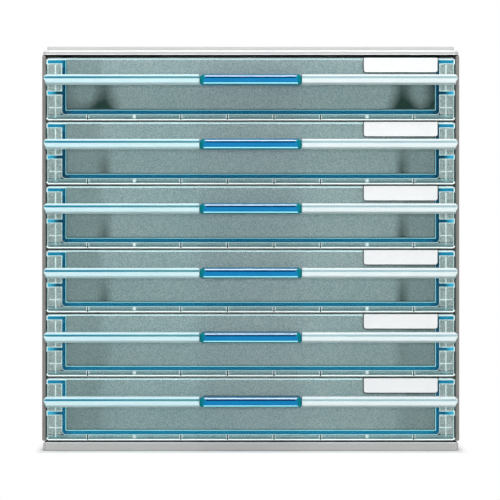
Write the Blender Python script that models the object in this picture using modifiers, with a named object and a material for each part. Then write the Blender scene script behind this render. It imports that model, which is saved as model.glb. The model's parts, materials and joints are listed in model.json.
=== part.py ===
"""Desktop drawer unit: a grey plastic casing with six clear blue drawers.

Each drawer is one clear moulding (tray, ribbed front and pull ledge) with a blue finger grip pushed
on a tongue and a paper label card in a pocket of the front. Its side flanges run in grooves of the
casing's side panels. Metres, +Z up, front towards -Y, origin at the bottom centre of the whole unit.
"""

import math

import bmesh
import bpy
from mathutils import Matrix

# Fits
SEAT_GAP = 0.0003  # between pieces that rest on or plug into each other
SLIDE_GAP = 0.0003  # below a drawer's flange, on its runner

# Casing
CASE_WIDTH = 0.286
CASE_DEPTH = 0.352
WALL = 0.0026  # side panel
BACK_WALL = 0.0024
BACK_INSET = 0.003  # from the casing's rear to the back panel
TOP_WALL = 0.003
STACK_STEP = 0.0026  # height of the stacking step on the top
STACK_INSET = 0.0035  # from the casing's sides to that step
PLINTH_HEIGHT = 0.0062
PLINTH_INSET = 0.00065
PLINTH_SKIRT = 0.0024
PLINTH_DECK = 0.0026
CASE_CORNER = 0.003  # corner radius in plan
EDGE = 0.0008  # rounding of the casing's outer edges
SIDE_NOSE = 0.0011  # rounding of the side panels' edges
LID_LINE_DROP = 0.0013  # shadow line round the top cover, below its edge
LID_LINE_HEIGHT = 0.0006
LID_LINE_DEPTH = 0.0004

# Drawer fronts
DRAWERS = 6
FRONT_HEIGHT = 0.0429
FRONT_GAP = 0.001  # between fronts, and below the lowest
TOP_GAP = 0.0016  # above the highest front
SIDE_GAP = 0.0008  # each side of a front
FRONT_WALL = 0.0022
FRONT_PROUD = 0.0008  # of the casing's front edges
FRONT_CORNER = 0.0015
FRONT_EDGE = 0.00055
RIM_WALL = 0.0014
RIM_DEPTH = 0.0046  # behind the front's wall
RIB_WALL = 0.001
WING_RIB_INSET = 0.0056  # upright rib of a wing, from the front's side
WING_RIB_RISE = 0.0084  # level rib of a wing, above the front's lower edge
GUSSETS = 8  # below the tray's floor
GUSSET_MARGIN = 0.0174  # from the tray's side to the outermost gusset

# Trays
WING = 0.0104  # from the front's side to the tray's side
REAR_SPACE = 0.0086  # from the tray's rear end to the back panel
TRAY_WALL = 0.0022
TRAY_FLOOR = 0.0025
FLOOR_RISE = 0.0045  # floor's underside above the front's lower edge
WALL_DROP = 0.002  # wall's top below the front's top
TRAY_CORNER = 0.0028
REAR_HEIGHT = 0.026  # rear wall above the floor's underside
FLANGE_TIP_GAP = 0.0012  # from a flange's tip to the casing
TOP_FLANGE = 0.002  # thickness
RUNNER_FLANGE = 0.0017  # thickness
RUNNER_RISE = 0.0175  # runner flange's underside above the front's lower edge

# Pull ledges and grips
LEDGE_DEPTH = 0.0115  # in front of the casing
LEDGE_HEIGHT = 0.0055
LEDGE_DROP = 0.0127  # ledge's top below the front's top
LEDGE_PLATE = 0.002
LEDGE_LIP = 0.0026
LEDGE_OVERLAP = 0.0003  # over the casing's front edges
LEDGE_STANDOFF = 0.0004  # clear of those edges when closed
LEDGE_ROUND = 0.0009
LEDGE_POINT = 0.0014  # chamfers that point the ledge's outer ends
GROOVE_DROP = 0.0015
GROOVE_HEIGHT = 0.0009
GROOVE_DEPTH = 0.0006
GRIP_WIDTH = 0.0695
GRIP_PROUD = 0.001  # in front of the ledge
GRIP_BELOW = 0.0017  # below the ledge
GRIP_ABOVE = 0.0003
GRIP_SHOULDER = 0.0022  # diagonal upper corners
GRIP_CORNER = 0.0014  # round lower corners
GRIP_BEVEL = 0.001  # round the face
TONGUE_WIDTH = 0.06
TONGUE_WALL = 0.0018
TONGUE_DEPTH = 0.006  # in front of the drawer front

# Labels
LABEL_WIDTH = 0.0505
LABEL_HEIGHT = 0.0102
LABEL_INSET = 0.0116  # from the front's right side
LABEL_WALL = 0.0005
LABEL_CORNER = 0.0016
LABEL_SINK = 0.0003  # card's face below the front's face

# Runners, stops and assembly
TRAVEL = 0.24
RUNNER_START = 0.0078  # behind the casing's front edge
RUNNER_CLEAR = 0.0018  # from a runner to the tray's side
RUNNER_WALL = 0.002
STOP_HEIGHT = 0.002  # stop block on a runner flange
STOP_LENGTH = 0.008
STOP_INSET = 0.0014  # stop block from the tray's side
STOP_GAP = 0.0005
KEEPER_WALL = 0.0018
TOOTH_LENGTH = 0.005
POST_WALL = 0.002  # web that joins the runners behind the drawer fronts
POST_GAP = 0.0008  # above and below a drawer's top flange
REAR_STOP = 0.0028
GROOVE_RIB = 0.0022  # ribs that hold the back panel
GROOVE_REACH = 0.0045
FOOT_WIDTH = 0.0095  # inward flanges of a side panel
FOOT_WALL = 0.002
FOOT_END = 0.006  # from the back panel's ribs and the runners' start
PEGS = 3
PEG_RADIUS = 0.0021
PEG_LENGTH = 0.002
PEG_CLEAR = 0.0003
LID_BORDER = 0.02  # full-thickness border under the stacking step

# Derived places
PITCH = FRONT_HEIGHT + FRONT_GAP
INNER_X = CASE_WIDTH / 2 - WALL
FRONT_X = INNER_X - SIDE_GAP
TRAY_X = FRONT_X - WING
FLANGE_X = INNER_X - FLANGE_TIP_GAP
RUNNER_X = TRAY_X + RUNNER_CLEAR
FRONT_BACK = FRONT_WALL - FRONT_PROUD
FLOOR_TOP = FLOOR_RISE + TRAY_FLOOR
TRAY_TOP = FRONT_HEIGHT - WALL_DROP
LEDGE_TOP = FRONT_HEIGHT - LEDGE_DROP
LEDGE_BOTTOM = LEDGE_TOP - LEDGE_HEIGHT
FLANGE_TOP = RUNNER_RISE + RUNNER_FLANGE
KEEPER_BOTTOM = FLANGE_TOP + STOP_HEIGHT + STOP_GAP
TONGUE_RISE = LEDGE_TOP - LEDGE_HEIGHT / 2 - TONGUE_WALL
LOWEST_FRONT = PLINTH_HEIGHT + FRONT_GAP
SIDE_BOTTOM = PLINTH_HEIGHT + SEAT_GAP
LID_BOTTOM = LOWEST_FRONT + (DRAWERS - 1) * PITCH + FRONT_HEIGHT + TOP_GAP
SIDE_TOP = LID_BOTTOM - SEAT_GAP
LID_TOP = LID_BOTTOM + TOP_WALL
BACK_FACE = CASE_DEPTH - BACK_INSET
BACK_FRONT = BACK_FACE - BACK_WALL
TRAY_LENGTH = BACK_FRONT - REAR_SPACE  # from the casing's front edge
CASE_FRONT_Y = (LEDGE_DEPTH + GRIP_PROUD - CASE_DEPTH) / 2

ARC_STEPS = 4
ROUND_STEPS = 16
BITE = 0.0005  # overlap of shapes that are joined into one moulding
BEYOND = 0.002  # how far a cutter runs past what it cuts
FLAT = math.radians(0.1)  # faces that turn less than this are one face

# Directions of a flat outline's own axes: (first, second, extrusion)
FRONT_VIEW = Matrix(((1, 0, 0), (0, 0, -1), (0, 1, 0))).to_4x4()
SIDE_VIEW = Matrix(((0, 0, 1), (1, 0, 0), (0, 1, 0))).to_4x4()
PLAN_VIEW = Matrix.Identity(4)

for old in list(bpy.data.objects):
    bpy.data.objects.remove(old)

unit = bpy.data.collections.new("desktop_drawer_unit")
helpers = bpy.data.collections.new("cutters")
for group in (unit, helpers):
    bpy.context.scene.collection.children.link(group)


def helper(name, mesh):
    """A shape that is joined to another or cut from it. It isn't a part itself."""
    made = bpy.data.objects.new(name, mesh)
    made.hide_render = True
    made.display_type = "WIRE"
    helpers.objects.link(made)
    return made


def evaluated_mesh(made):
    """The mesh of an object with its modifiers applied, welded, its flat faces whole, facing out."""
    bpy.context.view_layer.update()
    graph = bpy.context.evaluated_depsgraph_get()
    mesh = bpy.data.meshes.new_from_object(made.evaluated_get(graph))
    mesh.transform(made.matrix_world)
    bm = bmesh.new()
    bm.from_mesh(mesh)
    bmesh.ops.remove_doubles(bm, verts=bm.verts, dist=1e-6)
    bmesh.ops.dissolve_limit(bm, angle_limit=FLAT, verts=bm.verts, edges=bm.edges)
    bmesh.ops.recalc_face_normals(bm, faces=bm.faces)
    bm.to_mesh(mesh)
    bm.free()
    return mesh


def block(name, x, y, z):
    """A cuboid between the low and high values of x, y and z."""
    spans = (x, y, z)
    centre = Matrix.Translation([(low + high) / 2 for low, high in spans])
    size = Matrix.Diagonal([high - low for low, high in spans] + [1])
    mesh = bpy.data.meshes.new(name)
    bm = bmesh.new()
    bmesh.ops.create_cube(bm, size=1, matrix=centre @ size)
    bm.to_mesh(mesh)
    bm.free()
    return helper(name, mesh)


def peg(name, x, y, z, radius):
    """An upright cylinder between the low and high values of z."""
    low, high = z
    mesh = bpy.data.meshes.new(name)
    bm = bmesh.new()
    bmesh.ops.create_cone(
        bm,
        cap_ends=True,
        segments=ROUND_STEPS,
        radius1=radius,
        radius2=radius,
        depth=high - low,
        matrix=Matrix.Translation((x, y, (low + high) / 2)),
    )
    bm.to_mesh(mesh)
    bm.free()
    return helper(name, mesh)


def prism(name, outline, view, low, high):
    """A flat outline extruded between two values along the third axis of its view."""
    curve = bpy.data.curves.new(name, "CURVE")
    curve.dimensions = "2D"
    curve.fill_mode = "BOTH"
    curve.extrude = (high - low) / 2
    spline = curve.splines.new("POLY")
    spline.points.add(len(outline) - 1)
    spline.use_cyclic_u = True
    for point, (first, second) in zip(spline.points, outline):
        point.co = (first, second, 0, 1)
    flat = bpy.data.objects.new(name, curve)
    helpers.objects.link(flat)
    middle = (low + high) / 2
    along = -middle if view is FRONT_VIEW else middle
    flat.matrix_world = view @ Matrix.Translation((0, 0, along))
    mesh = evaluated_mesh(flat)
    bpy.data.objects.remove(flat)
    bpy.data.curves.remove(curve)
    return helper(name, mesh)


def arc(centre, radius, start, end):
    """Points of an arc, with its angles in degrees."""
    turns = [math.radians(start + (end - start) * i / ARC_STEPS) for i in range(ARC_STEPS + 1)]
    return [(centre[0] + radius * math.cos(a), centre[1] + radius * math.sin(a)) for a in turns]


def rounded(x, z, radius):
    """A rectangle with four round corners."""
    (left, right), (low, high) = x, z
    return (
        arc((right - radius, low + radius), radius, -90, 0)
        + arc((right - radius, high - radius), radius, 0, 90)
        + arc((left + radius, high - radius), radius, 90, 180)
        + arc((left + radius, low + radius), radius, 180, 270)
    )


def bevelled(made, width, segments=2):
    """Rounds the sharp edges of a shape."""
    rounding = made.modifiers.new("edges", "BEVEL")
    rounding.width = width
    rounding.segments = segments
    rounding.limit_method = "ANGLE"
    rounding.angle_limit = math.radians(50)
    made.data = evaluated_mesh(made)
    made.modifiers.clear()
    return made


def combined(first, others, operation):
    """Joins other shapes to the first, or cuts them from it, and returns the first."""
    for other in others:
        change = first.modifiers.new(other.name, "BOOLEAN")
        change.operation = operation
        change.solver = "EXACT"
        change.object = other
    first.data = evaluated_mesh(first)
    first.modifiers.clear()
    for other in others:
        bpy.data.objects.remove(other)
    return first


def joined(first, *others):
    return combined(first, others, "UNION")


def cut(first, *others):
    return combined(first, others, "DIFFERENCE")


def finished(shape):
    """Takes a shape's mesh for a part, shaded smooth up to sharp edges, and removes the shape."""
    mesh = shape.data
    bpy.data.objects.remove(shape)
    mesh.shade_smooth()
    mesh.set_sharp_from_angle(angle=math.radians(35))
    return mesh


def mirrored(mesh):
    """The same mesh on the other side of the X = 0 plane."""
    other = mesh.copy()
    other.transform(Matrix.Diagonal((-1, 1, 1, 1)))
    other.flip_normals()
    return other


def finish(name, colour, roughness, alpha=1.0):
    """A plastic or paper surface."""
    material = bpy.data.materials.new(name)
    material.use_nodes = True
    shader = material.node_tree.nodes["Principled BSDF"]
    shader.inputs["Base Color"].default_value = (*colour, 1)
    shader.inputs["Roughness"].default_value = roughness
    shader.inputs["Metallic"].default_value = 0
    shader.inputs["Alpha"].default_value = alpha
    return material


def part(name, mesh, material, parent):
    """A named part of the unit, carried by an empty."""
    made = bpy.data.objects.new(name, mesh)
    if not mesh.materials:
        mesh.materials.append(material)
    made.parent = parent
    unit.objects.link(made)
    return made


def frame(name, location, parent=None):
    """An empty that carries parts."""
    made = bpy.data.objects.new(name, None)
    made.location = location
    made.parent = parent
    unit.objects.link(made)
    return made


def peg_places():
    """Where a side panel's pegs sit along the casing's depth."""
    start = RUNNER_START + FOOT_END + 2 * PEG_RADIUS
    end = BACK_FRONT - GROOVE_RIB - FOOT_END - 2 * PEG_RADIUS
    return [start + (end - start) * i / (PEGS - 1) for i in range(PEGS)]


def peg_holes(x, z):
    """Cutters for the holes that take both side panels' pegs."""
    return [
        peg(f"peg_hole_{side}_{i}", side * x, y, z, PEG_RADIUS + PEG_CLEAR)
        for side in (-1, 1)
        for i, y in enumerate(peg_places())
    ]


PEG_X = INNER_X - FOOT_WIDTH / 2


def plan(side_inset, end_inset, radius=CASE_CORNER):
    """The casing's plan, a rounded rectangle, drawn in from its sides and from its front and rear."""
    half = CASE_WIDTH / 2 - side_inset
    return rounded((-half, half), (end_inset, CASE_DEPTH - end_inset), radius)


def plinth_mesh():
    """The base: a deck on a skirt, open below so that it nests over another unit's stacking step."""
    solid = prism("plinth", plan(PLINTH_INSET, 0), PLAN_VIEW, 0, PLINTH_HEIGHT)
    bevelled(solid, EDGE / 2)
    deck_bottom = PLINTH_HEIGHT - PLINTH_DECK
    inside = plan(PLINTH_INSET + PLINTH_SKIRT, PLINTH_SKIRT)
    pocket = prism("plinth_pocket", inside, PLAN_VIEW, -BEYOND, deck_bottom)
    holes = peg_holes(PEG_X, (deck_bottom - BEYOND, PLINTH_HEIGHT + BEYOND))
    return finished(cut(solid, pocket, *holes))


def lid_mesh():
    """The top cover: a plate with a shadow line and a stacking step, hollow below the step."""
    plate = prism("lid_plate", plan(0, 0), PLAN_VIEW, LID_BOTTOM, LID_TOP)
    bevelled(plate, EDGE)
    line = (LID_TOP - LID_LINE_DROP - LID_LINE_HEIGHT, LID_TOP - LID_LINE_DROP)
    ring = prism("lid_line", plan(-BEYOND, -BEYOND), PLAN_VIEW, *line)
    core_outline = plan(LID_LINE_DEPTH, LID_LINE_DEPTH, CASE_CORNER - LID_LINE_DEPTH)
    core = prism("lid_core", core_outline, PLAN_VIEW, LID_BOTTOM - BEYOND, LID_TOP + BEYOND)
    cut(plate, cut(ring, core))
    step = prism(
        "lid_step",
        plan(STACK_INSET, STACK_INSET),
        PLAN_VIEW,
        LID_BOTTOM + BITE,
        LID_TOP + STACK_STEP,
    )
    bevelled(step, EDGE / 2)
    hollow = prism(
        "lid_hollow",
        plan(LID_BORDER, LID_BORDER),
        PLAN_VIEW,
        LID_BOTTOM - BEYOND,
        LID_BOTTOM + STACK_STEP,
    )
    holes = peg_holes(PEG_X, (LID_BOTTOM - BEYOND, LID_BOTTOM + PEG_LENGTH + SEAT_GAP))
    return finished(cut(joined(plate, step), hollow, *holes))


def runner_shapes(drawer):
    """A right-hand groove for one drawer's flange, with its pull-out tooth and its closing stop."""
    bottom = LOWEST_FRONT + drawer * PITCH
    x = (RUNNER_X, INNER_X + BITE)
    rear = TRAY_LENGTH + SEAT_GAP
    runner_top = bottom + RUNNER_RISE - SLIDE_GAP
    keeper = bottom + KEEPER_BOTTOM
    tooth_rear = TRAY_LENGTH - STOP_LENGTH - TRAVEL - STOP_GAP
    return [
        block(
            f"runner_{drawer}",
            x,
            (RUNNER_START, rear + REAR_STOP),
            (runner_top - RUNNER_WALL, runner_top),
        ),
        block(
            f"keeper_{drawer}",
            x,
            (RUNNER_START, rear + REAR_STOP),
            (keeper, keeper + KEEPER_WALL),
        ),
        block(
            f"tooth_{drawer}",
            (RUNNER_X + BITE, INNER_X + BITE),
            (tooth_rear - TOOTH_LENGTH, tooth_rear),
            (bottom + FLANGE_TOP + STOP_GAP, keeper + BITE),
        ),
        block(
            f"rear_stop_{drawer}",
            (RUNNER_X + BITE, INNER_X + BITE),
            (rear, rear + REAR_STOP - BITE),
            (runner_top - BITE, keeper + BITE),
        ),
    ]


def post_shapes():
    """The right-hand front post in pieces, with slots between them for the drawers' flanges."""
    x = (RUNNER_X, INNER_X + BITE)
    y = (RUNNER_START + BITE, RUNNER_START + BITE + POST_WALL)
    start = SIDE_BOTTOM + BITE
    shapes = []
    for drawer in range(DRAWERS):
        bottom = LOWEST_FRONT + drawer * PITCH
        runner = bottom + RUNNER_RISE - SLIDE_GAP - RUNNER_WALL / 2
        keeper = bottom + KEEPER_BOTTOM + KEEPER_WALL / 2
        flange = bottom + TRAY_TOP - TOP_FLANGE
        shapes.append(block(f"post_low_{drawer}", x, y, (start, runner)))
        shapes.append(block(f"post_high_{drawer}", x, y, (keeper, flange - POST_GAP)))
        start = flange + TOP_FLANGE + POST_GAP
    shapes.append(block("post_top", x, y, (start, SIDE_TOP - BITE)))
    return shapes


def foot_shapes(name, z, peg_z):
    """A right-hand inward flange along a side panel's edge, with its pegs."""
    y = (RUNNER_START + FOOT_END - PEG_RADIUS, BACK_FRONT - GROOVE_RIB - FOOT_END + PEG_RADIUS)
    flange = block(name, (INNER_X - FOOT_WIDTH, INNER_X + BITE), y, z)
    pegs = [
        peg(f"{name}_peg_{i}", PEG_X, place, peg_z, PEG_RADIUS)
        for i, place in enumerate(peg_places())
    ]
    return [flange, *pegs]


def side_mesh():
    """The right side panel: a wall with the drawers' grooves, a front post, a back groove and pegs."""
    wall = block("side_wall", (INNER_X, CASE_WIDTH / 2), (0, CASE_DEPTH), (SIDE_BOTTOM, SIDE_TOP))
    bevelled(wall, SIDE_NOSE)
    shapes = []
    for drawer in range(DRAWERS):
        shapes += runner_shapes(drawer)
    shapes += post_shapes()
    reach = (INNER_X - GROOVE_REACH, INNER_X + BITE)
    tall = (SIDE_BOTTOM + FOOT_WALL, SIDE_TOP - FOOT_WALL)
    front_rib = BACK_FRONT - SEAT_GAP
    rear_rib = BACK_FACE + SEAT_GAP
    shapes.append(block("back_rib_front", reach, (front_rib - GROOVE_RIB, front_rib), tall))
    shapes.append(block("back_rib_rear", reach, (rear_rib, CASE_DEPTH - BITE), tall))
    low_foot = SIDE_BOTTOM + FOOT_WALL
    high_foot = SIDE_TOP - FOOT_WALL
    below = (SIDE_BOTTOM - PEG_LENGTH, low_foot - BITE)
    above = (high_foot + BITE, SIDE_TOP + PEG_LENGTH)
    shapes += foot_shapes("low_foot", (SIDE_BOTTOM, low_foot), below)
    shapes += foot_shapes("high_foot", (high_foot, SIDE_TOP), above)
    return finished(joined(wall, *shapes))


def back_mesh():
    """The back panel, held in the side panels' grooves."""
    half = INNER_X - SEAT_GAP
    panel = block(
        "back",
        (-half, half),
        (BACK_FRONT, BACK_FACE),
        (PLINTH_HEIGHT + SEAT_GAP, LID_BOTTOM - SEAT_GAP),
    )
    return finished(bevelled(panel, EDGE / 2, 1))


def tray_section():
    """The tray's cross-section: a channel with a top flange and a runner flange on each side."""
    inner = TRAY_X - TRAY_WALL
    small = TRAY_CORNER - TRAY_WALL
    right = arc((TRAY_X - TRAY_CORNER, FLOOR_RISE + TRAY_CORNER), TRAY_CORNER, -90, 0)
    right += [
        (TRAY_X, RUNNER_RISE),
        (FLANGE_X, RUNNER_RISE),
        (FLANGE_X, FLANGE_TOP),
        (TRAY_X, FLANGE_TOP),
        (TRAY_X, TRAY_TOP - TOP_FLANGE),
        (FLANGE_X, TRAY_TOP - TOP_FLANGE),
        (FLANGE_X, TRAY_TOP),
        (inner, TRAY_TOP),
    ]
    right += arc((inner - small, FLOOR_TOP + small), small, 0, -90)
    left = [(-x, z) for x, z in reversed(right)]
    return right + left


def ledge_section():
    """The pull ledge's cross-section: a plate with a turned-down lip, grooved along its face."""
    front, back = -LEDGE_DEPTH, -LEDGE_STANDOFF
    groove_top = LEDGE_TOP - GROOVE_DROP
    groove_bottom = groove_top - GROOVE_HEIGHT
    nose = front + LEDGE_ROUND
    return (
        [(back, LEDGE_TOP - LEDGE_PLATE), (back, LEDGE_TOP)]
        + arc((nose, LEDGE_TOP - LEDGE_ROUND), LEDGE_ROUND, 90, 180)
        + [
            (front, groove_top),
            (front + GROOVE_DEPTH, groove_top),
            (front + GROOVE_DEPTH, groove_bottom),
            (front, groove_bottom),
        ]
        + arc((nose, LEDGE_BOTTOM + LEDGE_ROUND), LEDGE_ROUND, 180, 270)
        + [
            (front + LEDGE_LIP, LEDGE_BOTTOM),
            (front + LEDGE_LIP, LEDGE_TOP - LEDGE_PLATE),
        ]
    )


def ledge(name, side):
    """The pull ledge on one side of the grip, its outer end pointed by two chamfers."""
    end = INNER_X + LEDGE_OVERLAP
    start = GRIP_WIDTH / 2 + SEAT_GAP
    bar = prism(name, ledge_section(), SIDE_VIEW, *sorted((side * start, side * end)))
    reach = LEDGE_POINT + BEYOND
    chamfers = []
    for edge, down in ((LEDGE_TOP, -1), (LEDGE_BOTTOM, 1)):
        outline = [
            (side * (end - LEDGE_POINT - BEYOND), edge - down * BEYOND),
            (side * (end + BEYOND), edge - down * BEYOND),
            (side * (end + BEYOND), edge + down * reach),
        ]
        chamfers.append(prism(f"{name}_{down}", outline, FRONT_VIEW, -LEDGE_DEPTH - BEYOND, BEYOND))
    return cut(bar, *chamfers)


def front_shapes():
    """Ribs behind the front: gussets under the floor, and an upright and a level rib in each wing."""
    start = FRONT_BACK - BITE
    end = FRONT_BACK + RIM_DEPTH
    shapes = []
    spread = 2 * (TRAY_X - GUSSET_MARGIN)
    for i in range(GUSSETS):
        x = spread * (i / (GUSSETS - 1) - 0.5)
        shapes.append(
            block(
                f"gusset_{i}",
                (x - RIB_WALL / 2, x + RIB_WALL / 2),
                (start, end - BITE),
                (RIM_WALL - BITE, FLOOR_RISE + BITE),
            )
        )
    upright = FRONT_X - WING_RIB_INSET
    for side in (-1, 1):
        x = sorted((side * (upright - RIB_WALL / 2), side * (upright + RIB_WALL / 2)))
        shapes.append(
            block(
                f"upright_rib_{side}",
                x,
                (start, end - 2 * BITE),
                (RIM_WALL - BITE, TRAY_TOP - TOP_FLANGE + BITE),
            )
        )
        x = sorted((side * (TRAY_X - BITE), side * (FRONT_X - RIM_WALL + BITE)))
        z = (WING_RIB_RISE - RIB_WALL / 2, WING_RIB_RISE + RIB_WALL / 2)
        shapes.append(block(f"level_rib_{side}", x, (start, end - 3 * BITE), z))
    return shapes


def tray_mesh():
    """One clear drawer: front, tray, flanges, stops and pull ledge as a single moulding."""
    front = prism(
        "front",
        rounded((-FRONT_X, FRONT_X), (0, FRONT_HEIGHT), FRONT_CORNER),
        FRONT_VIEW,
        -FRONT_PROUD,
        FRONT_BACK + RIM_DEPTH,
    )
    bevelled(front, FRONT_EDGE, 1)
    pocket = prism(
        "front_pocket",
        rounded(
            (RIM_WALL - FRONT_X, FRONT_X - RIM_WALL),
            (RIM_WALL, FRONT_HEIGHT - RIM_WALL),
            FRONT_CORNER,
        ),
        FRONT_VIEW,
        FRONT_BACK,
        FRONT_BACK + RIM_DEPTH + BEYOND,
    )
    cut(front, pocket)
    shapes = [prism("channel", tray_section(), FRONT_VIEW, FRONT_BACK - 2 * BITE, TRAY_LENGTH)]
    rear_face = TRAY_LENGTH - BITE
    shapes.append(
        block(
            "rear_wall",
            (BITE - TRAY_X, TRAY_X - BITE),
            (rear_face - TRAY_WALL, rear_face),
            (FLOOR_RISE + BITE, FLOOR_RISE + REAR_HEIGHT),
        )
    )
    for side in (-1, 1):
        x = sorted((side * (TRAY_X + STOP_INSET), side * (FLANGE_X - BITE)))
        y = (TRAY_LENGTH - STOP_LENGTH, TRAY_LENGTH - BITE)
        z = (FLANGE_TOP - BITE, FLANGE_TOP + STOP_HEIGHT)
        shapes.append(block(f"stop_{side}", x, y, z))
    shapes += front_shapes()
    shapes += [ledge("ledge_left", -1), ledge("ledge_right", 1)]
    shapes.append(
        block(
            "tongue",
            (-TONGUE_WIDTH / 2, TONGUE_WIDTH / 2),
            (-FRONT_PROUD - TONGUE_DEPTH, BITE - FRONT_PROUD),
            (TONGUE_RISE, TONGUE_RISE + TONGUE_WALL),
        )
    )
    joined(front, *shapes)
    label_pocket = prism(
        "label_pocket",
        label_outline(SEAT_GAP, BEYOND),
        FRONT_VIEW,
        -FRONT_PROUD - BEYOND,
        LABEL_SINK + LABEL_WALL + SEAT_GAP - FRONT_PROUD,
    )
    return finished(cut(front, label_pocket))


def label_outline(margin, above):
    """The label's outline, square at the top and round at the lower corners, grown by a margin."""
    right = FRONT_X - LABEL_INSET + margin
    left = FRONT_X - LABEL_INSET - LABEL_WIDTH - margin
    low = FRONT_HEIGHT - LABEL_HEIGHT - margin
    radius = LABEL_CORNER + margin
    return (
        [(right, FRONT_HEIGHT + above), (left, FRONT_HEIGHT + above)]
        + arc((left + radius, low + radius), radius, 180, 270)
        + arc((right - radius, low + radius), radius, 270, 360)
    )


def label_mesh():
    """The paper label card."""
    front = LABEL_SINK - FRONT_PROUD
    card = prism("label", label_outline(0, -SEAT_GAP), FRONT_VIEW, front, front + LABEL_WALL)
    return finished(card)


def grip_outline():
    """The finger grip from the front: diagonal upper corners and round lower ones."""
    half = GRIP_WIDTH / 2
    top = LEDGE_TOP + GRIP_ABOVE
    bottom = LEDGE_BOTTOM - GRIP_BELOW
    right = arc((half - GRIP_CORNER, bottom + GRIP_CORNER), GRIP_CORNER, -90, 0)
    right += [(half, top - GRIP_SHOULDER), (half - GRIP_SHOULDER, top)]
    left = [(-x, z) for x, z in reversed(right)]
    return right + left


def grip_mesh():
    """The finger grip: a bar with bevels round its face and back, slotted for the tongue."""
    face = -LEDGE_DEPTH - GRIP_PROUD
    back = -FRONT_PROUD - SEAT_GAP
    bar = prism("grip", grip_outline(), FRONT_VIEW, face, back)
    bevelled(bar, GRIP_BEVEL, 1)
    slot_half = TONGUE_WIDTH / 2 + SEAT_GAP
    slot = block(
        "grip_slot",
        (-slot_half, slot_half),
        (-FRONT_PROUD - TONGUE_DEPTH - SEAT_GAP, back + BEYOND),
        (TONGUE_RISE - SEAT_GAP, TONGUE_RISE + TONGUE_WALL + SEAT_GAP),
    )
    return finished(cut(bar, slot))


GREY = finish("casing_grey", (0.56, 0.56, 0.54), 0.45)
CLEAR_BLUE = finish("clear_blue", (0.42, 0.72, 0.82), 0.12, 0.45)
GRIP_BLUE = finish("grip_blue", (0.01, 0.20, 0.50), 0.25)
PAPER = finish("label_paper", (0.92, 0.92, 0.92), 0.85)

casing = frame("drawer_unit", (0, CASE_FRONT_Y, 0))
side = side_mesh()
part("base", plinth_mesh(), GREY, casing)
part("right_side", side, GREY, casing)
part("left_side", mirrored(side), GREY, casing)
part("back_panel", back_mesh(), GREY, casing)
part("top_cover", lid_mesh(), GREY, casing)

tray, grip, label = tray_mesh(), grip_mesh(), label_mesh()
for number in range(1, DRAWERS + 1):
    bottom = LOWEST_FRONT + (DRAWERS - number) * PITCH
    drawer = frame(f"drawer_{number}", (0, 0, bottom), casing)
    part(f"drawer_{number}_tray", tray, CLEAR_BLUE, drawer)
    part(f"drawer_{number}_grip", grip, GRIP_BLUE, drawer)
    part(f"drawer_{number}_label", label, PAPER, drawer)
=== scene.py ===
# %% [markdown]
# A desktop drawer box: a light grey plastic casing and six drawers of clear, ice-blue plastic. The
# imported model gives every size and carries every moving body. This lesson dresses it: the drawers
# are drawn again as see-through mouldings with soft edges, and each surface gets its own finish.

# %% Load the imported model
import json
import math

import bmesh
import bpy
import numpy as np
from mathutils import Matrix, Vector

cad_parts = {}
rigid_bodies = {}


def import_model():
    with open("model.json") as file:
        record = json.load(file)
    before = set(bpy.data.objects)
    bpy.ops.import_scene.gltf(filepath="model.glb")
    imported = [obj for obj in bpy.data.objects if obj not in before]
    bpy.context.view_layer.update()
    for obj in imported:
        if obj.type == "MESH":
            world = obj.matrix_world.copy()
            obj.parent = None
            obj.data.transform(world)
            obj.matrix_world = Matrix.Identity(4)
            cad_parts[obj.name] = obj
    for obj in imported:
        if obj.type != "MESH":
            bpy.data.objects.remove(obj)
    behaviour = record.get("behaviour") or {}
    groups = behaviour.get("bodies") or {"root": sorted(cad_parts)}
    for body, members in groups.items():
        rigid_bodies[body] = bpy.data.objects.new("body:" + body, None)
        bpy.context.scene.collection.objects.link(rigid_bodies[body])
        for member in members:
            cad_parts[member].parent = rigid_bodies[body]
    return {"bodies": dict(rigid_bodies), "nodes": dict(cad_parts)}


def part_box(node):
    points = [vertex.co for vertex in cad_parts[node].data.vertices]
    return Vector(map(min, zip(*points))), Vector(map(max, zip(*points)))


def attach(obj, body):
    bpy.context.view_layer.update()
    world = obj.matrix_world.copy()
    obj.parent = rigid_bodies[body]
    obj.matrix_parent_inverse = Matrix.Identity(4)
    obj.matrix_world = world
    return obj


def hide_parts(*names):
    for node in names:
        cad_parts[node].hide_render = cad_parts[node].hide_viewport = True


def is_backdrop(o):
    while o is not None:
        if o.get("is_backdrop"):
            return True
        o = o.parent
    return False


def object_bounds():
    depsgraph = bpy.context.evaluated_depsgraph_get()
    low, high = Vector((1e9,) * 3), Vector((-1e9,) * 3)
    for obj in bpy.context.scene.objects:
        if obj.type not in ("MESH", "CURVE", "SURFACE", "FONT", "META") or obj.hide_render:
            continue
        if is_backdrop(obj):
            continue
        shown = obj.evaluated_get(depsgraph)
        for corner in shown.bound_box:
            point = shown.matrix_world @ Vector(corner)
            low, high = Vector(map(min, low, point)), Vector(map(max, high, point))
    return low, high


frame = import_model()
cad_low, cad_high = (np.array(corner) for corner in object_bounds())
print("the model's box, in metres:", cad_low.round(4), cad_high.round(4))

# %% [markdown]
# New pieces must sit where the model has them, so the leading sizes are read from its boxes. Each drawer
# has a corner of its own: the casing's front plane and the lower edge of that drawer's front. All six
# drawers are alike, so every shape is drawn once from that corner and then shifted to its drawer.

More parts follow.
